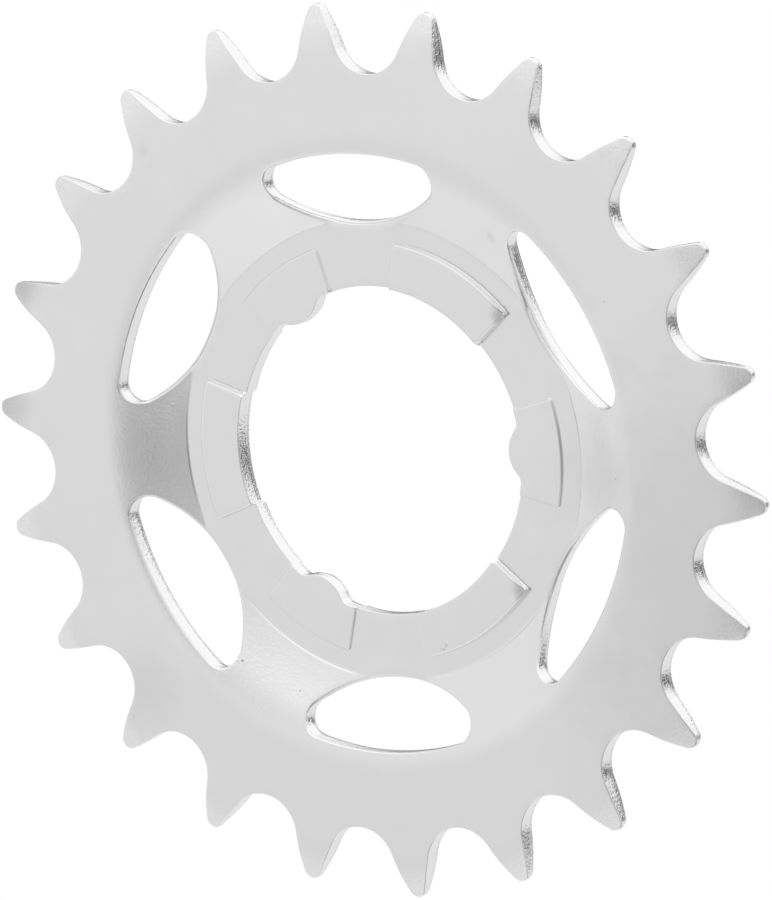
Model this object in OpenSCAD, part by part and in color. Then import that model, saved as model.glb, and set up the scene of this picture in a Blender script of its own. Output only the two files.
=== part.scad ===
// One-piece dished steel sprocket for an internal-gear bicycle hub.
// The spin axis is Y, the front face looks along -Y and +Z is up. The origin is
// on the axis, in the mid-plane of the tooth ring. All lengths are millimetres.

/* [Teeth] */
// number of teeth
teeth = 22; // [16:1:28]
// chain pitch, centre to centre of the rollers
pitch = 12.7; // [9.525:0.025:15.875]
// radius of the roller seat at the root of each gap
seat_r = 4.24; // [3.9:0.02:4.4]
// radius of the convex tooth flanks
flank_r = 40; // [15:1:80]
// how far each flank circle laps into the roller seat
flank_lap = 0.05; // [0.02:0.01:0.1]
// angle of the flank centres below the seat centres, about the seat centre
flank_dip = 15.8; // [10:0.1:18]
// diameter over the tooth tips
tip_d = 95.3; // [90:0.1:110]
// turn of the tooth ring against the first lug
tooth_clock = 2.3; // [-8:0.1:8]

/* [Sheet] */
// sheet thickness
sheet_t = 2.3; // [1.8:0.05:3.2]
// radius where the tooth faces start to taper
taper_start_r = 43.4; // [43.3:0.1:45]
// metal taken off the front face at the tooth tips
taper_front = 0.75; // [0.1:0.05:1]
// metal taken off the back face at the tooth tips
taper_back = 0.45; // [0.1:0.05:1]

/* [Dish] */
// how far the hub land sits behind the tooth ring
dish = 3.3; // [0.5:0.1:6]
// radius of the bend from tooth ring to dish
rim_bend_at = 32.3; // [30:0.1:38]
// radius of curvature of that bend
rim_bend_r = 6; // [1:0.5:12]
// radius of the crisp edge round the hub land
land_r = 24.7; // [23:0.1:27]

/* [Bore] */
// bore diameter that centres on the driver
bore_d = 35.1; // [30:0.1:40]
// diameter of the circle the lug noses touch
lug_circle_d = 32.1; // [28:0.1:34]
// radius of each lug nose
lug_r = 3.46; // [2:0.02:4.5]
// angle of the first lug from +X, seen from the front
lug_clock = 5.5; // [0:0.1:60]

/* [Pads] */
// outer radius of the pads round the bore
pad_r = 22.4; // [20:0.1:24]
// angle covered by a plain pad
plain_pad_span = 39.4; // [20:0.2:50]
// how far a plain pad is pressed towards the front
plain_pad_h = 0.82; // [0.2:0.02:1.4]
// depth of the pocket that the press leaves behind a plain pad
plain_pocket = 0.6; // [0.2:0.05:1.4]
// angle covered by a lug pad
lug_pad_span = 29.6; // [20:0.2:50]
// how far a lug pad is pressed towards the front
lug_pad_h = 0.25; // [0.1:0.01:1.2]
// depth of the pocket behind a lug pad
lug_pocket = 0.33; // [0.1:0.01:1.2]

/* [Windows] */
// number of windows
windows = 6; // [3:1:8]
// angle of the first window's middle from the first lug
window_clock = 29.6; // [28:0.1:32]
// radius of the outer edge of the windows, about the axis
window_out_r = 31.9; // [28:0.1:36]
// radius of the innermost point of each window
window_in_r = 24.4; // [23:0.1:28]
// radius of curvature of the inner edge
window_arc_r = 17.6; // [12:0.1:30]
// radius of the two corners
window_corner_r = 1.9; // [0.5:0.1:3]
// how far each corner circle laps over the edges it blends
window_lap = 0.02; // [0.01:0.01:0.05]

/* [Hidden] */
$fn = 96;
pitch_r = pitch / (2 * sin(180 / teeth));
tip_r = tip_d / 2;
gap_half = 180 / teeth;
// flank circle of the tooth that points along +Y, right-hand side
seat_c = [pitch_r * sin(gap_half), pitch_r * cos(gap_half)];
flank_gap = flank_r + seat_r - flank_lap;
flank_c = seat_c - flank_gap * [cos(flank_dip), sin(flank_dip)];
// nose circle: centred on the tooth, touching the tip circle and both flanks
nose_y = (pow(norm(flank_c), 2) - pow(flank_r - tip_r, 2))
    / (2 * (flank_r - tip_r + flank_c[1]));
nose_r = tip_r - nose_y;
nose_dir = ([0, nose_y] - flank_c) / (flank_r - nose_r);
nose_touch = [0, nose_y] + nose_r * nose_dir;
root_disc_r = norm(seat_c - seat_r * [cos(flank_dip), sin(flank_dip)]);
land_h = sheet_t / 2 - dish;
slope = atan(dish / (rim_bend_at - land_r));
bend_half = rim_bend_r * tan(slope / 2);
lug_c = lug_circle_d / 2 + lug_r;
window_arc_c = window_in_r + window_arc_r;
corner_a = window_out_r - window_corner_r;
corner_b = window_arc_r - window_corner_r;
corner_y = (corner_a * corner_a - corner_b * corner_b + window_arc_c * window_arc_c)
    / (2 * window_arc_c);
corner_x = sqrt(corner_a * corner_a - corner_y * corner_y);
corner_top = [corner_x, corner_y] * window_out_r / corner_a;
corner_low = [0, window_arc_c]
    + ([corner_x, corner_y] - [0, window_arc_c]) * window_arc_r / corner_b;

// turns a shape drawn in plan, with the front on top, to face along -Y
module face_front() {
    rotate([90, 0, 0]) children();
}

// pie slice about +X, for cutting sectors out of rings
module slice(span, r) {
    polygon([[0, 0], r * [cos(span / 2), -sin(span / 2)], [r * 1.1, 0],
        r * [cos(span / 2), sin(span / 2)]]);
}

// one tooth pointing along +Y
module tooth_2d() {
    intersection() {
        translate(flank_c) circle(flank_r);
        translate([-flank_c[0], flank_c[1]]) circle(flank_r);
        translate([-5, pitch_r - 6]) square([10, nose_touch[1] - pitch_r + 6]);
    }
    translate([0, nose_y]) circle(nose_r);
}

// outline of the tooth ring without any holes
module teeth_2d() {
    difference() {
        union() {
            circle(root_disc_r);
            for (i = [0:teeth - 1]) rotate(i * 2 * gap_half) tooth_2d();
        }
        for (i = [0:teeth - 1]) rotate((i + 0.5) * 2 * gap_half)
            translate([0, pitch_r]) circle(seat_r);
    }
}

// section of the dished sheet: x is the radius, y the height to the front
module sheet_2d() {
    function bend(y0) = [for (i = [0:8]) let (a = slope * (8 - i) / 8)
        [rim_bend_at + bend_half - rim_bend_r * sin(a),
            y0 - rim_bend_r * (1 - cos(a))]];
    function taper(s, drop) = let (run = tip_r - taper_start_r,
        arc = (run * run + drop * drop) / (2 * drop))
        [for (i = [0:6]) let (x = (run + 0.5) * i / 6)
            [taper_start_r + x, s * (sheet_t / 2 - arc + sqrt(arc * arc - x * x))]];
    front = concat([[0, land_h], [land_r, land_h]], bend(sheet_t / 2),
        taper(1, taper_front));
    back = concat([[0, land_h - sheet_t], [land_r, land_h - sheet_t]], bend(-sheet_t / 2),
        taper(-1, taper_back));
    polygon(concat(front, [for (i = [len(back) - 1:-1:0]) back[i]]));
}

// one lens-shaped window in plan, its middle along +Y
module window_2d() {
    intersection() {
        circle(window_out_r);
        translate([0, window_arc_c]) circle(window_arc_r);
        polygon([[-corner_low[0], corner_low[1]], [-corner_top[0], corner_top[1]],
            [-corner_top[0], window_out_r + 3], [corner_top[0], window_out_r + 3],
            corner_top, corner_low, [corner_low[0], window_in_r - 3],
            [-corner_low[0], window_in_r - 3]]);
    }
    for (s = [-1, 1]) translate([s * corner_x, corner_y])
        circle(window_corner_r + window_lap);
}

// bore in plan with its three lugs left standing
module bore_2d() {
    difference() {
        circle(d = bore_d);
        for (i = [0:2]) rotate(lug_clock + 120 * i)
            translate([lug_c, 0]) circle(lug_r);
    }
}

// solid sector between the bore and the pad radius, from height z0 to z1
module pad_block(span, z0, z1) {
    translate([0, 0, z0]) linear_extrude(z1 - z0) intersection() {
        difference() {
            circle(pad_r);
            circle(d = lug_circle_d - 4);
        }
        slice(span, pad_r * 1.3);
    }
}

// runs its child at the three lug pads or the three plain pads
module at_pads(first) {
    for (i = [0:2]) rotate(first + 120 * i) children();
}

module sprocket() {
    color([0.80, 0.80, 0.81]) face_front() difference() {
        union() {
            intersection() {
                rotate_extrude() sheet_2d();
                translate([0, 0, -12]) linear_extrude(24)
                    rotate(lug_clock + tooth_clock) teeth_2d();
            }
            at_pads(lug_clock + 60)
                pad_block(plain_pad_span, land_h - 0.8, land_h + plain_pad_h);
            at_pads(lug_clock)
                pad_block(lug_pad_span, land_h - 0.6, land_h + lug_pad_h);
        }
        at_pads(lug_clock + 60)
            pad_block(plain_pad_span, land_h - sheet_t - 1,
                land_h - sheet_t + plain_pocket);
        at_pads(lug_clock)
            pad_block(lug_pad_span, land_h - sheet_t - 1,
                land_h - sheet_t + lug_pocket);
        translate([0, 0, -12]) linear_extrude(24) {
            bore_2d();
            for (i = [0:windows - 1]) rotate(lug_clock + window_clock + i * 360 / windows - 90)
                window_2d();
        }
    }
}

sprocket();
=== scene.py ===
import math
from collections import namedtuple

import bpy
import numpy as np
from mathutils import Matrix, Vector
from mathutils.geometry import delaunay_2d_cdt
from mathutils.kdtree import KDTree


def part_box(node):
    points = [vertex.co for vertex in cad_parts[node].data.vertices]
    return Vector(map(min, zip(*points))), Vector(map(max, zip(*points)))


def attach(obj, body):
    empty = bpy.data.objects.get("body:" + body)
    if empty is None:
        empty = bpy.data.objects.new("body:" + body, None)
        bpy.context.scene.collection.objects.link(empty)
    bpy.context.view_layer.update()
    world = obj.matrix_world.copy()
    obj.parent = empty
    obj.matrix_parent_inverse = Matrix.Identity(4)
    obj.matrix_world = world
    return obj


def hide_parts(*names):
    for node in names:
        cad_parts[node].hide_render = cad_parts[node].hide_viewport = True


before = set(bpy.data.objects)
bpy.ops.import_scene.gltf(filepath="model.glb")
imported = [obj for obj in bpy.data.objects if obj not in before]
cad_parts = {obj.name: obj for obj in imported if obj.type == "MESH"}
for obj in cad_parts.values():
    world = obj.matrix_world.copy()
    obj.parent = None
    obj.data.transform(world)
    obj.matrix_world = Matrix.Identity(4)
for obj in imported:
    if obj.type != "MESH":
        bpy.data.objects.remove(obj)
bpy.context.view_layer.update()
LOW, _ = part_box("sprocket")

MM = 0.001                       # a millimetre in metres

# ---------------------------------------------------------------- dimensions, millimetres and degrees
# Plan positions are (x, z) as seen from the front. Heights are measured towards the front, along -y.
TEETH, PITCH, TIP_R = 22, 12.7, 47.65
SEAT_R, FLANK_R, FLANK_DIP = 4.24, 40.0, 15.8        # roller seat, convex flank, angle where they meet
CLOCK = 5.5                      # angle of the first lug, from +x
TOOTH_CLOCK = CLOCK + 2.3
SHEET = 2.3
RIM_H = -LOW.y / MM              # height of the tooth ring's front face
LAND_H = RIM_H - 3.3             # height of the hub land's front face
LAND_R, STEP_H, STEP_W = 24.7, 0.07, 0.03            # edge of the land and the small step round it
SOFT_FROM = 21.7                 # radius where the land starts to rise beside a window
WEB_EDGE = (15.5, 21.5)          # angles from the middle of a web between which the step fades out
DISH_FULL, DISH_FADE, DISH_END = 28.0, 28.9, 34.6    # radii of full slope, of its fading and of its end
DISH_EASE = 0.20                 # how much gentler the slope is at the land
TAPER_R, BEVEL_R = 43.0, 45.1    # radii where a tooth starts to get thinner and where the bevel sets in
TAPER_FRONT, TAPER_BACK = 0.78, 0.45     # how much thinner each face makes the tip
TAPER_EASE = 0.40                # share of the taper's slope that starts before the bevel
TAPER_GROWTH = 0.40              # how much steeper the taper is at the tip
BORE_R, LUG_TIP_R, LUG_R = 17.55, 16.05, 3.46        # bore, circle that the lugs reach in to, lug nose
LUG_BLEND, LUG_MARGIN = 0.5, 0.4     # fillet beside a lug, and how far short of its end a nose's arc stops
WINDOWS, WIN_OUT, WIN_IN = 6, 31.9, 24.4             # number, outer radius, innermost radius
WIN_ARC, WIN_CORNER = 17.6, 1.9  # radii of the arc on the hub side and of the corners
WINDOW_CLOCK = CLOCK + 29.6      # a shade clockwise of the middle between a lug pad and a plain pad
DIP_H, DIP_W = 0.03, 1.0         # shallow sink of the face round a window

PAD_R, PAD_CORNER, PAD_WALL = 22.4, 0.3, 0.10        # outer radius, corner radius, width of the sheared wall
SAG_R = 0.95                     # reach of the sag at a pad's outer corner
SAG_SIDE = (0.3, 0.7)            # cosines of the angle from the first lug between which the sag sets in
PLAIN_AT, PLAIN_SPAN = CLOCK + 60, 39.4
LUG_AT, LUG_SPAN = CLOCK, 29.6

# a kind of pad, and the pocket behind it: middle of the first of three, angle it spans, height,
# height and width of its rolled edge, sag of its outer corners
Pad = namedtuple("Pad", "first span height roll_h roll_w sag")
FRONT_PADS = (Pad(PLAIN_AT, PLAIN_SPAN, 0.82, 0.12, 0.38, 0.42), Pad(LUG_AT, LUG_SPAN, 0.25, 0.07, 0.20, 0.0))
BACK_PADS = (Pad(PLAIN_AT, PLAIN_SPAN, 0.60, 0.08, 0.38, 0.0), Pad(LUG_AT, LUG_SPAN, 0.33, 0.06, 0.38, 0.0))

# the edges: width and height of the rounded front edge, how far the torn part of the wall leans back
ROLLS = {"teeth": (0.15, 0.12), "bore": (0.13, 0.09), "window": (0.24, 0.17)}
LEANS = {"teeth": 0.13, "bore": 0.24, "window": 0.24}
HUB_ROLL_W, HUB_ROLL_H = 0.42, 0.55  # how much more the upper windows are rolled over at their hub side
HUB_SIDE = (0.2, 0.9)            # cosines of the angle between an edge and outwards where that sets in
LOWER_ROLL = 0.4                 # share of that extra roll which the lower windows have
UPPER_FROM, UPPER_FULL = -6.0, 6.0   # z between which a window turns from a lower into an upper one
TORN_FROM = 0.6                  # where the torn part starts, as a share of the wall
BACK_W, BACK_H = 0.04, 0.04      # small break on the back edge
MOST_ROLL_W, MOST_ROLL_H, MOST_BACK_H = 0.30, 0.35, 0.10     # limits on them, as shares of the thickness


def rad(d):
    return d * math.pi / 180


def smooth_min(a, b, k):
    h = np.clip(0.5 + 0.5 * (b - a) / k, 0, 1)
    return b + (a - b) * h - k * h * (1 - h)


def smooth_step(x, lo, hi):
    t = np.clip((x - lo) / (hi - lo), 0, 1)
    return t * t * (3 - 2 * t)


# ---------------------------------------------------------------- outlines
EDGE_STEP = 0.30                 # spacing of the points along the teeth and windows
BORE_STEP = 0.21                 # the same along the bore
BORE_SAMPLES, BORE_SMOOTHING = 24000, 3


def arc(cx, cy, r, a0, a1, side):
    """Points of an arc without its last one, with unit normals into the metal.

    side is +1 when the metal is outside the circle and -1 when it is inside.
    """
    n = max(3, math.ceil(abs(rad(a1 - a0)) * r / EDGE_STEP))
    a = np.radians(np.linspace(a0, a1, n, endpoint=False))
    d = np.stack([np.cos(a), np.sin(a)], 1)
    return np.array([cx, cy]) + r * d, side * d


def turn(p, degrees):
    c, s = math.cos(rad(degrees)), math.sin(rad(degrees))
    return p @ np.array([[c, s], [-s, c]])


def join(parts):
    return np.concatenate([p for p, _ in parts]), np.concatenate([n for _, n in parts])


def tooth_outline():
    """The tooth ring's outline: each tooth is half a seat, a flank, a nose, a flank and half a seat."""
    pitch_r = PITCH / (2 * math.sin(math.pi / TEETH))
    gap = 180 / TEETH
    seat = np.array([pitch_r * math.sin(rad(gap)), pitch_r * math.cos(rad(gap))])
    flank = seat - (FLANK_R + SEAT_R) * np.array([math.cos(rad(FLANK_DIP)), math.sin(rad(FLANK_DIP))])
    nose_y = (flank @ flank - (FLANK_R - TIP_R) ** 2) / (2 * (FLANK_R - TIP_R + flank[1]))
    nose_r = TIP_R - nose_y
    touch = math.degrees(math.atan2(nose_y - flank[1], -flank[0]))
    tooth = join([
        arc(seat[0], seat[1], SEAT_R, 270 - gap, 180 + FLANK_DIP, 1),
        arc(flank[0], flank[1], FLANK_R, FLANK_DIP, touch, -1),
        arc(0, nose_y, nose_r, touch, 180 - touch, -1),
        arc(-flank[0], flank[1], FLANK_R, 180 - touch, 180 - FLANK_DIP, -1),
        arc(-seat[0], seat[1], SEAT_R, -FLANK_DIP, gap - 90, 1),
    ])
    clocks = [TOOTH_CLOCK + i * 360 / TEETH for i in range(TEETH)]
    return join([(turn(tooth[0], a), turn(tooth[1], a)) for a in clocks])


def window_outline(i):
    """A window's outline: the outer arc, a corner, the arc on the hub side and the other corner."""
    centre = WIN_IN + WIN_ARC
    a, b = WIN_OUT - WIN_CORNER, WIN_ARC - WIN_CORNER
    cy = (a * a - b * b + centre * centre) / (2 * centre)
    cx = math.sqrt(a * a - cy * cy)
    top = math.degrees(math.atan2(cy, cx))
    low = math.degrees(math.atan2(cy - centre, cx))
    p, n = join([
        arc(0, 0, WIN_OUT, top, 180 - top, 1),
        arc(-cx, cy, WIN_CORNER, 180 - top, 180 - low, 1),
        arc(0, centre, WIN_ARC, 180 - low, 360 + low, 1),
        arc(cx, cy, WIN_CORNER, low, top, 1),
    ])
    a = WINDOW_CLOCK + i * 360 / WINDOWS - 90
    return turn(p, a)[::-1], turn(n, a)[::-1]


def off_axis(theta, first):
    """Angle from the nearest of three features 120 degrees apart."""
    return (theta - first + 60) % 120 - 60


def bore_outline():
    """The bore's outline: a circle with three round-nosed lugs, in evenly spaced points."""
    t = np.linspace(0, 360, BORE_SAMPLES, endpoint=False)
    d = np.abs(off_axis(t, CLOCK))
    c = LUG_TIP_R + LUG_R
    inside = LUG_R ** 2 - (c * np.sin(np.radians(d))) ** 2
    nose = c * np.cos(np.radians(d)) - np.sqrt(np.maximum(inside, 0))
    on_nose = d <= math.degrees(math.asin(LUG_R / c)) - LUG_MARGIN
    r = np.where(on_nose, smooth_min(BORE_R, nose, LUG_BLEND), BORE_R)
    p = np.stack([r * np.cos(np.radians(t)), r * np.sin(np.radians(t))], 1)
    closed = np.vstack([p, p[:1]])
    along = np.concatenate([[0], np.cumsum(np.linalg.norm(np.diff(closed, axis=0), axis=1))])
    want = np.linspace(0, along[-1], int(along[-1] / BORE_STEP), endpoint=False)
    p = np.stack([np.interp(want, along, closed[:, k]) for k in (0, 1)], 1)
    for _ in range(BORE_SMOOTHING):
        p = 0.5 * p + 0.25 * (np.roll(p, 1, 0) + np.roll(p, -1, 0))
    tangent = np.roll(p, -1, 0) - np.roll(p, 1, 0)
    normal = np.stack([tangent[:, 1], -tangent[:, 0]], 1)
    normal /= np.linalg.norm(normal, axis=1)[:, None]
    return p[::-1], normal[::-1]


LOOPS = [("teeth", *tooth_outline()), ("bore", *bore_outline())]
LOOPS += [("window", *window_outline(i)) for i in range(WINDOWS)]


# ---------------------------------------------------------------- heights of the two faces
def polar(p):
    return np.hypot(p[:, 0], p[:, 1]), np.degrees(np.arctan2(p[:, 1], p[:, 0]))


def pad_distance(r, t, pad):
    """Signed distance to the outline of the nearest pad, negative inside."""
    side = r * np.sin(np.radians(np.clip(np.abs(off_axis(t, pad.first)) - pad.span / 2, -90, 90)))
    a, b = side + PAD_CORNER, r - PAD_R + PAD_CORNER
    return np.minimum(np.maximum(a, b), 0) + np.hypot(np.maximum(a, 0), np.maximum(b, 0)) - PAD_CORNER


def corner_distance(r, t, pad):
    """Distance to the nearest outer corner of a pad."""
    d = np.radians(np.abs(off_axis(t, pad.first)) - pad.span / 2)
    return np.sqrt(np.maximum(r * r + PAD_R ** 2 - 2 * r * PAD_R * np.cos(d), 0))


def pressed(r, t, pad):
    """Height that a pad adds: flat on top, rolled over at its edge, then a short sheared wall."""
    d = pad_distance(r, t, pad)
    over = np.clip(1 + d / pad.roll_w, 0, 1)
    top = 1 - pad.roll_h * (1 - np.sqrt(1 - over ** 2)) / pad.height
    wall = 1 - np.clip(d / PAD_WALL, 0, 1)
    shape = np.where(d > 0, (1 - pad.roll_h / pad.height) * wall, top)
    facing = smooth_step(np.cos(np.radians(t - CLOCK)), *SAG_SIDE)
    sag = pad.sag * np.exp(-(corner_distance(r, t, pad) / SAG_R) ** 2) * facing
    return pad.height * shape - np.where(d < 0, sag, 0)


def share_of_rise(r, grid, slope):
    """How much of a rise is done at radius r, from 0 to 1, when its slope on a grid of radii is known."""
    total = np.concatenate([[0], np.cumsum((slope[1:] + slope[:-1]) / 2)])
    return np.interp(r, grid, total / total[-1])


def dish_rise(r):
    """Share of the dish's rise at radius r: the slope eases in at the land and fades at the rim."""
    grid = np.linspace(LAND_R, DISH_END, 2001)
    slope = 1 - DISH_EASE + DISH_EASE * smooth_step(grid, LAND_R, DISH_FULL)
    return share_of_rise(r, grid, slope * (1 - smooth_step(grid, DISH_FADE, DISH_END)))


def dished(r, t, step_at):
    """Height of the dished sheet's front face, without pads or taper.

    The land has a crisp step at its edge in the webs, and a soft rise beside the windows.
    """
    soft = STEP_H * np.clip((r - SOFT_FROM) / (step_at - SOFT_FROM), 0, 1) ** 2
    wall = STEP_H * np.clip((r - step_at + STEP_W) / STEP_W, 0, 1)
    crisp = 1 - smooth_step(np.abs((t - WINDOW_CLOCK) % 60 - 30), *WEB_EDGE)
    land = LAND_H + crisp * wall + (1 - crisp) * soft
    cone = LAND_H + STEP_H + (RIM_H - LAND_H - STEP_H) * dish_rise(r + LAND_R - step_at)
    return np.where(r < step_at, land, cone)


def taper(r, amount):
    """Metal taken off a tooth face: a gentle start, then an almost straight bevel to the tip."""
    grid = np.linspace(TAPER_R, TIP_R, 400)
    start = TAPER_EASE * smooth_step(grid, TAPER_R, TAPER_R + 0.8)
    slope = start + (1 - TAPER_EASE) * smooth_step(grid, BEVEL_R - 0.5, BEVEL_R + 0.5)
    slope = slope * (1 + TAPER_GROWTH * (grid - TAPER_R) / (TIP_R - TAPER_R))
    return amount * share_of_rise(r, grid, slope)


def window_dip(r, t):
    """Shallow sink of the face towards a window, left when the slug was punched out."""
    a = (t - WINDOW_CLOCK + 30) % 60 - 30
    x, y = r * np.sin(np.radians(a)), r * np.cos(np.radians(a))
    out = np.maximum(r - WIN_OUT, np.hypot(x, y - WIN_IN - WIN_ARC) - WIN_ARC)
    return DIP_H * np.clip(1 - out / DIP_W, 0, 1) ** 2


def front_height(p):
    r, t = polar(p)
    h = dished(r, t, LAND_R) - taper(r, TAPER_FRONT) - window_dip(r, t)
    for pad in FRONT_PADS:
        h = h + pressed(r, t, pad)
    return h


def back_height(p):
    r, t = polar(p)
    h = dished(r, t, LAND_R - STEP_W) - SHEET + taper(r, TAPER_BACK)
    for pad in BACK_PADS:
        h = h + pressed(r, t, pad)
    return h


# ---------------------------------------------------------------- the mesh: edges and walls
ROLL_TURNS = (90, 72, 56, 42, 29, 17, 7, 0)                    # degrees round a front edge, face first
WALL_STEPS = (0.16, 0.34, 0.5, 0.58, 0.62, 0.74, 0.88, 1.0)    # shares of the way down a wall
BREAK_TURNS = (35, 65, 90)                                     # degrees round a back edge, face last

verts, depth, faces = [], [], []


def add(p, h, v):
    """Adds points at plan positions p and heights h, and returns the index of the first.

    v is 0 to 1 down a wall, below 0 on the front and above 1 on the back.
    """
    first = sum(len(a) for a in verts)
    verts.append(np.stack([p[:, 0], -h, p[:, 1]], 1) * MM)
    depth.append(np.broadcast_to(np.asarray(v, float), (len(p),)))
    return first


def band(a, b, n):
    """Quads between two rings of n points that start at vertices a and b, the second one nearer the back."""
    k = np.arange(n)
    j = (k + 1) % n
    faces.extend(np.stack([a + k, b + k, b + j, a + j], 1).tolist())


def edge_roll(kind, points, normals):
    """Width and height of the rounded front edge along an outline."""
    width, height = ROLLS[kind]
    if kind == "window":
        outwards = -(points * normals).sum(1) / np.hypot(points[:, 0], points[:, 1])    # a cosine
        upper = smooth_step(points[:, 1], UPPER_FROM, UPPER_FULL)
        extra = smooth_step(outwards, *HUB_SIDE) * (LOWER_ROLL + (1 - LOWER_ROLL) * upper)
        width, height = width + HUB_ROLL_W * extra, height + HUB_ROLL_H * extra
    return width, height


def edge(kind, points, normals):
    """Meshes an outline's front edge, wall and back edge.

    Returns its ring on the front face and its ring on the back face, each as (first vertex, positions).
    """
    thick = front_height(points) - back_height(points)
    roll_w, roll_h = edge_roll(kind, points, normals)
    roll_w = np.minimum(roll_w, MOST_ROLL_W * thick)
    roll_h = np.minimum(roll_h, MOST_ROLL_H * thick)
    back_h = np.minimum(BACK_H, MOST_BACK_H * thick)
    top = front_height(points) - roll_h
    low = back_height(points) + back_h
    rings = []
    for t in ROLL_TURNS:
        c, s = math.cos(rad(t)), math.sin(rad(t))
        q = points + normals * (roll_w * (1 - c))[:, None]
        rings.append((q, front_height(q) - roll_h * (1 - s), -t / 90))
    for v in WALL_STEPS:
        lean = LEANS[kind] * max(0.0, v - TORN_FROM) / (1 - TORN_FROM)
        rings.append((points + normals * lean, top + (low - top) * v, v))
    for t in BREAK_TURNS:
        c, s = math.cos(rad(t)), math.sin(rad(t))
        q = points + normals * (LEANS[kind] + BACK_W * (1 - c))
        rings.append((q, back_height(q) + back_h * (1 - s), 1 + t / 90))
    starts = [add(*ring) for ring in rings]
    for a, b in zip(starts, starts[1:]):
        band(a, b, len(points))
    return (starts[0], rings[0][0]), (starts[-1], rings[-1][0])


front_rims, back_rims = zip(*[edge(*loop) for loop in LOOPS])


# ---------------------------------------------------------------- the mesh: front and back faces
# distances from a pad's outline, and from the step round the land, where a face gets rings of points
FRONT_PAD_RINGS = (-1.4, -1.1, -0.85, -0.6, -0.42, -0.38, -0.3, -0.2, -0.12, -0.06, -0.02, 0.0,
                   0.05, 0.1, 0.13, 0.3)
BACK_PAD_RINGS = (-0.42, -0.25, -0.12, -0.02, 0.0, 0.05, 0.1, 0.13, 0.35)
STEP_RINGS = (-0.8, -0.4, -0.18, -0.08, -STEP_W - 0.012, -STEP_W + 0.012, -0.012, 0.012,
              0.05, 0.15, 0.35, 0.7)
BEND_RINGS = np.arange(29.0, 35.6, 0.5)      # radii of the rings on the bend between cone and tooth ring
PAD_STEP, STEP_STEP, BEND_STEP = 0.3, 0.33, 0.6      # spacing of the points along those rings
GRID_REACH, GRID_STEP = 50, 0.8              # the even grid that fills the rest
LEAST_ARM = 0.05                             # smallest pad corner that gets points of its own
FINE_GAP, BEND_GAP, GRID_GAP = 0.03, 0.3, 0.42       # how far a group of points keeps from the earlier ones
EDGE_GAP = 0.12                              # how far every point keeps from the edges
SAME_POINT = 1e-6                            # nearer points would be merged


def tree_of(points):
    tree = KDTree(len(points))
    for i, p in enumerate(points):
        tree.insert((p[0], p[1], 0), i)
    tree.balance()
    return tree


def ring_points(r, step):
    a = np.linspace(0, 2 * math.pi, int(2 * math.pi * r / step), endpoint=False)
    return np.stack([r * np.cos(a), r * np.sin(a)], 1)


def pad_ring(pad, d):
    """Points along the outlines of the three pads of a kind, moved out by d."""
    half = rad(pad.span / 2)
    inset = max(PAD_CORNER, -d)
    r = np.arange(BORE_R + 0.2, PAD_R - inset, PAD_STEP)
    a = np.linspace(-half, half, int(PAD_R * (2 * half) / PAD_STEP))
    a = a[(half - np.abs(a)) * PAD_R > inset]
    arm = PAD_CORNER + d
    points = []
    for s in (-1, 1):
        u = np.array([math.cos(s * half), math.sin(s * half)])
        w = np.array([-math.sin(s * half), math.cos(s * half)]) * s
        points.append(r[:, None] * u + d * w)
        if arm > LEAST_ARM:
            centre = (PAD_R - PAD_CORNER) * u - PAD_CORNER * w
            corner = np.linspace(0, math.pi / 2, 5)[1:-1]
            points.append(np.array([centre + arm * (math.sin(k) * u + math.cos(k) * w) for k in corner]))
    points.append((PAD_R + d) * np.stack([np.cos(a), np.sin(a)], 1))
    points = np.concatenate(points)
    return np.concatenate([turn(points, pad.first + 120 * i) for i in range(3)])


def triangle_grid():
    g = np.arange(-GRID_REACH, GRID_REACH, GRID_STEP)
    x, y = np.meshgrid(g, g * math.sqrt(3) / 2)
    x = x + GRID_STEP / 2 * (np.arange(len(g)) % 2)[:, None]
    return np.stack([x.ravel(), y.ravel()], 1)


def fillers(step_at, pad_rings):
    """Groups of inner points as (points, how far they keep from earlier groups)."""
    groups = [(np.concatenate([pad_ring(pad, d) for d in pad_rings]), FINE_GAP) for pad in FRONT_PADS]
    groups.append((np.concatenate([ring_points(step_at + d, STEP_STEP) for d in STEP_RINGS]), FINE_GAP))
    groups.append((np.concatenate([ring_points(r, BEND_STEP) for r in BEND_RINGS]), BEND_GAP))
    groups.append((triangle_grid(), GRID_GAP))
    return groups


def thinned(groups, edge_points, edge_normals):
    """The points of the groups that lie on the face and keep their distances, in one array."""
    edge_tree = tree_of(edge_points)
    kept, trees = [], []
    for points, gap in groups:
        r = np.hypot(points[:, 0], points[:, 1])
        good = []
        for p in points[(r > LUG_TIP_R) & (r < TIP_R)]:
            _, i, dist = edge_tree.find((p[0], p[1], 0))
            if (p - edge_points[i]) @ edge_normals[i] < EDGE_GAP or dist < EDGE_GAP:
                continue
            if any(t.find((p[0], p[1], 0))[2] < gap for t in trees):
                continue
            good.append(p)
        kept.append(np.array(good))
        trees.append(tree_of(good))
    return np.concatenate(kept)


def inside(points, segments):
    """Even-odd test of points against closed outlines given as segments."""
    (x0, y0), (x1, y1) = segments[:, 0].T, segments[:, 1].T
    slope = (x1 - x0) / np.where(y1 == y0, 1e-12, y1 - y0)
    found = np.zeros(len(points), bool)
    for k in range(0, len(points), 2000):
        x, y = points[k:k + 2000, :1], points[k:k + 2000, 1:]
        crossed = ((y0 > y) != (y1 > y)) & (x < x0 + (y - y0) * slope)
        found[k:k + 2000] = crossed.sum(1) % 2 == 1
    return found


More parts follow.
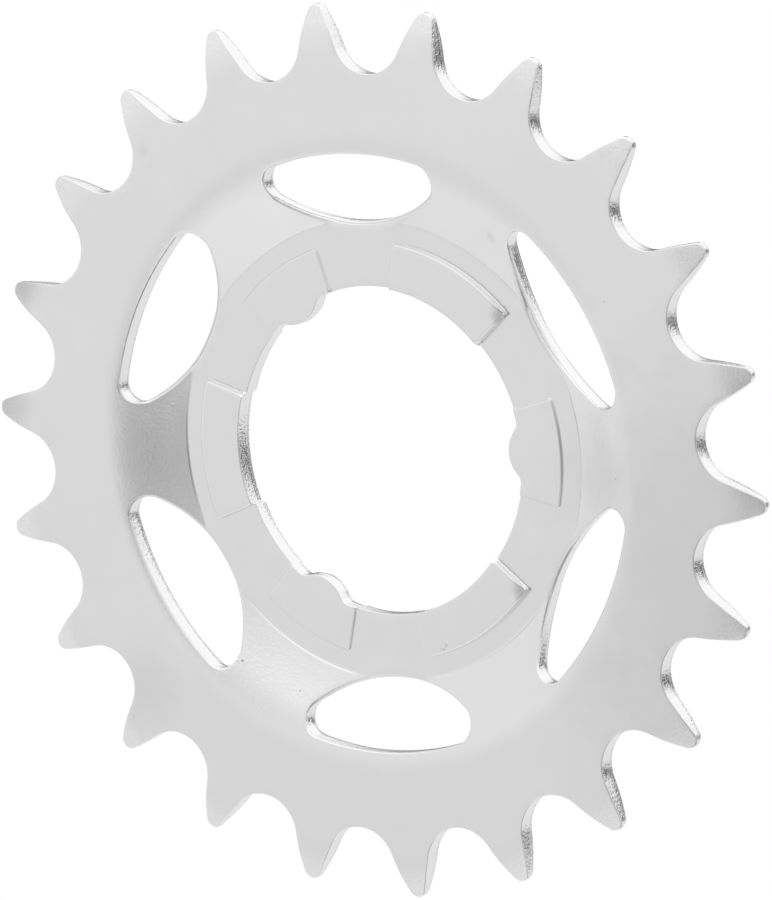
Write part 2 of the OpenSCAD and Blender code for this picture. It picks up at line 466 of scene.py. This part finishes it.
def fill(rims, groups, height, v, flip):
    """Triangulates the face inside the rims and adds it to the mesh."""
    edge_points = np.concatenate([q for _, q in rims])
    edge_normals = np.concatenate([normals for _, _, normals in LOOPS])
    inner = thinned(groups, edge_points, edge_normals)
    first = add(inner, height(inner), v)
    index = np.concatenate([start + np.arange(len(q)) for start, q in rims] + [first + np.arange(len(inner))])
    points = np.concatenate([edge_points, inner])
    edges, at = [], 0
    for _, q in rims:
        k = np.arange(len(q))
        edges.extend(np.stack([at + k, at + (k + 1) % len(q)], 1).tolist())
        at += len(q)
    out = delaunay_2d_cdt([Vector(p) for p in points], edges, [], 0, SAME_POINT, True)
    if len(out[0]) != len(points) or any(len(o) != 1 for o in out[3]):
        raise RuntimeError("the face triangulation merged or split points")
    source = np.array([o[0] for o in out[3]])
    tris = source[np.array(out[2])]
    tris = index[tris[inside(points[tris].mean(1), points[np.array(edges)])]]
    faces.extend((tris[:, ::-1] if flip else tris).tolist())


fill(front_rims, fillers(LAND_R, FRONT_PAD_RINGS), front_height, -1, False)
fill(back_rims, fillers(LAND_R - STEP_W, BACK_PAD_RINGS), back_height, 2, True)

mesh = bpy.data.meshes.new("sprocket_plated")
mesh.from_pydata(np.concatenate(verts).tolist(), [], faces)
mesh.validate()
layer = mesh.attributes.new("through", "FLOAT", "POINT")
layer.data.foreach_set("value", np.concatenate(depth).astype(np.float32))
mesh.polygons.foreach_set("use_smooth", [True] * len(mesh.polygons))
mesh.update()
sprocket = bpy.data.objects.new("sprocket_plated", mesh)
bpy.context.scene.collection.objects.link(sprocket)


# ---------------------------------------------------------------- material
class Nodes:
    """Adds nodes to a tree and links them, so that a graph reads as a formula."""

    def __init__(self, tree):
        self.tree = tree
        tree.nodes.clear()

    def add(self, kind, inputs=None, **settings):
        node = self.tree.nodes.new(kind)
        for key, value in settings.items():
            setattr(node, key, value)
        for key, value in (inputs or {}).items():
            socket = node.inputs[key]
            if isinstance(value, bpy.types.NodeSocket):
                self.tree.links.new(value, socket)
            else:
                socket.default_value = value
        return node

    def math(self, op, a, b=0.0, c=0.0):
        return self.add("ShaderNodeMath", {0: a, 1: b, 2: c}, operation=op).outputs[0]

    def stretch(self, vector, factors):
        return self.add("ShaderNodeVectorMath", {0: vector, 1: factors}, operation="MULTIPLY").outputs[0]

    def scale(self, vector, factor):
        return self.add("ShaderNodeVectorMath", {0: vector, "Scale": factor}, operation="SCALE").outputs[0]

    def distance(self, a, b):
        return self.add("ShaderNodeVectorMath", {0: a, 1: b}, operation="DISTANCE").outputs["Value"]

    def dot(self, a, b):
        return self.add("ShaderNodeVectorMath", {0: a, 1: b}, operation="DOT_PRODUCT").outputs["Value"]

    def mix(self, factor, a, b):
        return self.add("ShaderNodeMix", {"Factor": factor, "A": a, "B": b}, data_type="FLOAT").outputs[0]

    def ramp(self, value, lo, hi, a=0.0, b=1.0):
        return self.add("ShaderNodeMapRange", {0: value, 1: lo, 2: hi, 3: a, 4: b},
                        interpolation_type="SMOOTHSTEP").outputs[0]

    def noise(self, vector, scale, detail, rough):
        return self.add("ShaderNodeTexNoise", {"Vector": vector, "Scale": scale, "Detail": detail,
                                               "Roughness": rough}).outputs[0]

    def swing(self, noise, amount, middle):
        """A value that a noise moves round a middle, by up to half the amount either way."""
        return self.math("MULTIPLY_ADD", self.math("SUBTRACT", noise, 0.5), amount, middle)


PLATING = (0.800, 0.800, 0.806)

# soft darker patches on the plating: painted shade and painted dark reflections on the rim and tooth tips,
# smudges and a stain elsewhere; angle, radius, size in mm, how much darker
SMUDGES_AND_PAINTED_SHADE = (
    # painted shade: the right side of the rim and its tooth tips darker, as reflections make them
    (-8, 45, 30, 0.12),
    (8, 49, 10, 0.12),
    # a darker place on the web at the right
    (2, 27, 6, 0.06),
    # painted dark reflection on the tips of teeth at the left
    (161.5, 48.6, 6.5, 0.28),
    # painted shade: the lower right of the rim darker
    (-38, 40, 14, 0.04),
    # a stain on the rim at the lower left
    (-134, 40, 6, 0.08),
    # painted dark reflection on the tips of teeth at the left
    (178, 48.6, 7, 0.25),
    # smudges
    (132.7, 41.2, 1.6, 0.13),
    (133.5, 38.9, 1.4, 0.09),
    (59, 28.1, 1.1, 0.12),
    (142.3, 31.0, 0.8, 0.06),
)

# pits and scuffs: angle, radius, size in mm, how dark
PITS = (
    (-123.6, 29.3, 0.15, 0.50),
    (-124.3, 29.7, 0.09, 0.30),
    (-108.7, 28.4, 0.10, 0.30),
    (-66.0, 21.7, 0.20, 0.18),
    (-67.2, 22.0, 0.16, 0.22),
    (-68.1, 21.9, 0.12, 0.18),
    (33.2, 34.8, 0.09, 0.30),
    (1.3, 30.2, 0.10, 0.30),
)


def place(angle, radius):
    """Point at an angle and a radius round the spin axis."""
    return radius * math.cos(rad(angle)), 0, radius * math.sin(rad(angle))


def add_smudges_and_painted_shade(g, shade, where, cloud):
    """The shade, darkened in the soft patches of painted shade, painted dark reflections and smudges, whose
    edges a noise makes uneven.
    """
    for angle, radius, size, amount in SMUDGES_AND_PAINTED_SHADE:
        away = g.swing(cloud, 0.25 * size, g.distance(where, place(angle, radius)))
        shade = g.math("MULTIPLY", shade, g.ramp(away, 0.25 * size, size, 1 - amount, 1.0))
    return shade


def pitted(g, where, peel):
    """How much the pits darken each place."""
    flat = g.stretch(where, (1, 0, 1))
    pit = 0.0
    for angle, radius, size, dark in PITS:
        away = g.swing(peel, size, g.distance(flat, place(angle, radius)))
        pit = g.math("ADD", pit, g.ramp(away, 0.4 * size, 1.3 * size, dark, 0.0))
    return pit


def plated_steel():
    material = bpy.data.materials.new("plated_steel")
    material.use_nodes = True
    g = Nodes(material.node_tree)

    # where things are: millimetres, the walls, the ground tooth tips, the drawn cone
    where = g.scale(g.add("ShaderNodeNewGeometry").outputs["Position"], 1 / MM)
    x, _, z = g.add("ShaderNodeSeparateXYZ", {0: where}).outputs
    r = g.math("SQRT", g.math("ADD", g.math("MULTIPLY", x, x), g.math("MULTIPLY", z, z)))
    through = g.add("ShaderNodeAttribute", attribute_name="through").outputs["Fac"]
    wall = g.math("MULTIPLY", g.ramp(through, -0.25, 0.0), g.ramp(through, 1.0, 1.3, 1.0, 0.0))
    bevel = g.ramp(r, BEVEL_R - 1.6, BEVEL_R + 0.9)
    drawn = g.math("MULTIPLY", g.ramp(r, LAND_R, LAND_R + 1.5), g.ramp(r, 32.0, 34.5, 1.0, 0.0))

    # noises: scale per millimetre, detail, roughness
    blotch = g.noise(where, 0.07, 3.0, 0.55)
    cloud = g.noise(where, 0.35, 3.0, 0.6)
    peel = g.noise(where, 2.6, 2.0, 0.6)
    grain = g.noise(where, 4.0, 2.0, 0.7)
    speck = g.noise(where, 3.0, 2.0, 0.7)
    streak = g.noise(g.stretch(where, (3.6, 1.1, 3.6)), 1.0, 3.0, 0.65)

    # faces: slow blotches, fine grain that is stronger on the tips, a painted highlight on the upper tips,
    # smudges and painted shade, pits
    face = g.math("MULTIPLY", g.swing(blotch, 0.04, 1.0), g.swing(cloud, 0.04, 1.0))
    face = g.math("MULTIPLY", face, g.swing(grain, 0.03, 1.0))
    # painted light: the bevelled tips are made lighter towards the top, where they catch more light; the
    # grain that varies them is real
    tip_grain_and_painted_light = g.swing(grain, 0.22, g.ramp(z, 20.0, 40.0, 0.0, 0.08))
    face = g.math("MULTIPLY", face, g.math("MULTIPLY_ADD", bevel, tip_grain_and_painted_light, 1.0))
    face = add_smudges_and_painted_shade(g, face, where, cloud)
    pit = pitted(g, where, peel)
    face = g.math("MULTIPLY", face, g.math("SUBTRACT", 1.0, pit))

    # punched walls: a torn band with specks near the back, the specks painted reflections of its rough
    # facets, and a thin painted shadow line in it
    torn = g.math("MULTIPLY", g.ramp(g.swing(streak, 0.3, through), 0.66, 0.80), wall)
    # painted shadow: a thin dark line along the wall, at a fixed share of the way through
    painted_shadow_line = g.math("ABSOLUTE", g.math("SUBTRACT", through, 0.84))
    painted_shadow_line = g.math("MULTIPLY", g.ramp(painted_shadow_line, 0.015, 0.05, 0.10, 0.0), wall)
    # painted reflection: dark specks in the torn band's colour, where its rough facets reflect dark
    painted_speck_reflections = g.math("MULTIPLY", torn, g.ramp(speck, 0.5, 0.75, 0.0, 0.25))
    painted_wall_shade = g.math("SUBTRACT", g.math("SUBTRACT", 1.0, painted_shadow_line), painted_speck_reflections)
    color = g.scale(PLATING, g.mix(wall, face, painted_wall_shade))

    rough = g.math("MULTIPLY_ADD", bevel, 0.12, g.swing(cloud, 0.10, 0.19))
    rough = g.math("MULTIPLY_ADD", torn, 0.10, g.mix(wall, rough, 0.12))

    # relief in millimetres: peel, grain, streaks and specks on the walls, less the pits
    height = g.math("MULTIPLY", peel, g.math("MULTIPLY_ADD", drawn, 0.020, 0.005))
    ground = g.math("MULTIPLY_ADD", bevel, 0.030, g.math("MULTIPLY_ADD", drawn, 0.012, 0.004))
    height = g.math("MULTIPLY_ADD", grain, ground, height)
    height = g.math("MULTIPLY_ADD", g.math("MULTIPLY", streak, wall), 0.030, height)
    speckled = g.math("MULTIPLY_ADD", torn, 0.030, 0.050)
    height = g.math("MULTIPLY_ADD", g.math("MULTIPLY", speck, wall), speckled, height)
    height = g.math("SUBTRACT", height, g.math("MULTIPLY", pit, 0.03))
    bump = g.add("ShaderNodeBump", {"Height": height, "Distance": MM, "Strength": 1.0}).outputs[0]
    base = g.add("ShaderNodeBsdfPrincipled", {
        "Base Color": color, "Metallic": 1.0, "Roughness": rough, "Normal": bump})
    g.add("ShaderNodeOutputMaterial", {"Surface": base.outputs[0]})
    return material


sprocket.data.materials.append(plated_steel())
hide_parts("sprocket")
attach(sprocket, "root")


# ---------------------------------------------------------------- the room, as the metal sees it
BASE_LIGHT, LEAST_LIGHT = 0.92, 0.03

# round patches: azimuth from the front towards +x, elevation, inner and outer radius in degrees, light added
PATCHES = (
    (-36, -26, 4, 24, -0.10),
    (34, -2, 3, 15, -0.34),
    (-5, 38, 4, 24, 0.05),
    (-6, -46, 5, 32, 0.06),
    (75, -50, 8, 34, -0.62),
    (148, -2, 4, 12.5, -0.92),
    (163, 4, 4, 12, -0.92),
    (176, -3, 3, 10, -0.85),
    (-151, 3, 4, 11, -0.80),
    (-128, -9, 8, 24, -0.55),
    (-30, 80, 14, 60, 0.35),
    (169, 36, 12, 50, 0.26),
)

# a wide dark patch that is strongest in a level band: the same five values, then the band's height
# as the z of a direction, its half widths, and what is left of the patch outside it
DARK_SIDE = (34, -6, 10, 66, -0.40)
BAND_Z, BAND_INNER, BAND_OUTER, BAND_REST = -0.105, 0.12, 0.40, 0.25


def direction(azimuth, elevation):
    a, e = rad(azimuth), rad(elevation)
    return math.sin(a) * math.cos(e), -math.cos(a) * math.cos(e), math.sin(e)


def patch(g, way, azimuth, elevation, inner, outer, amount):
    dot = g.dot(way, direction(azimuth, elevation))
    return g.ramp(dot, math.cos(rad(outer)), math.cos(rad(inner)), 0.0, amount)


def studio_world():
    """Soft light from all round with a few darker and lighter places; the camera sees plain white."""
    world = bpy.data.worlds.new("studio")
    world.use_nodes = True
    bpy.context.scene.world = world
    g = Nodes(world.node_tree)
    way = g.add("ShaderNodeTexCoord").outputs["Generated"]
    light = BASE_LIGHT
    for values in PATCHES:
        light = g.math("ADD", patch(g, way, *values), light)
    z = g.add("ShaderNodeSeparateXYZ", {0: way}).outputs["Z"]
    level = g.math("ABSOLUTE", g.math("SUBTRACT", z, BAND_Z))
    band_share = g.ramp(level, BAND_INNER, BAND_OUTER, 1.0, BAND_REST)
    light = g.math("ADD", light, g.math("MULTIPLY", patch(g, way, *DARK_SIDE), band_share))
    light = g.math("MAXIMUM", light, LEAST_LIGHT)
    seen = g.add("ShaderNodeLightPath").outputs["Is Camera Ray"]
    background = g.add("ShaderNodeBackground", {"Color": (1, 1, 1, 1), "Strength": g.mix(seen, light, 1.0)})
    g.add("ShaderNodeOutputWorld", {"Surface": background.outputs[0]})


studio_world()


# ---------------------------------------------------------------- floor and camera
FLOOR_HALF, FLOOR_DROP = 40.0, 0.004     # metres
AZIMUTH, ELEVATION = 32.546, 11.208      # the camera's direction from the part, degrees
DISTANCE = 0.58812                       # metres
AIM_X, AIM_Z = 0.002843, 0.000944        # metres, the point in the tooth ring's front plane it looks at
SENSOR, LENS = 36.0, 224.576             # millimetres


def white_floor():
    """A plain white floor under the part, seen by the camera only, so that it doesn't light the metal."""
    size, level = FLOOR_HALF, LOW.z - FLOOR_DROP
    corners = [(-size, -size, level), (size, -size, level), (size, size, level), (-size, size, level)]
    mesh = bpy.data.meshes.new("floor")
    mesh.from_pydata(corners, [], [(0, 1, 2, 3)])
    floor = bpy.data.objects.new("floor", mesh)
    bpy.context.scene.collection.objects.link(floor)
    material = bpy.data.materials.new("floor")
    material.use_nodes = True
    g = Nodes(material.node_tree)
    glow = g.add("ShaderNodeEmission", {"Color": (1, 1, 1, 1), "Strength": 1.0})
    g.add("ShaderNodeOutputMaterial", {"Surface": glow.outputs[0]})
    mesh.materials.append(material)
    for kind in ("diffuse", "glossy", "transmission", "volume_scatter", "shadow"):
        setattr(floor, "visible_" + kind, False)


def long_lens_camera():
    back = Vector(direction(AZIMUTH, ELEVATION))
    data = bpy.data.cameras.new("camera")
    data.sensor_width, data.lens = SENSOR, LENS
    data.clip_start, data.clip_end = 0.01, 50.0
    camera = bpy.data.objects.new("camera", data)
    camera.location = Vector((AIM_X, LOW.y, AIM_Z)) + back * DISTANCE
    camera.rotation_mode = "QUATERNION"
    camera.rotation_quaternion = (-back).to_track_quat("-Z", "Y")
    bpy.context.scene.collection.objects.link(camera)
    bpy.context.scene.camera = camera
    bpy.context.scene.view_settings.view_transform = "Standard"


white_floor()
long_lens_camera()

bpy.context.view_layer.update()
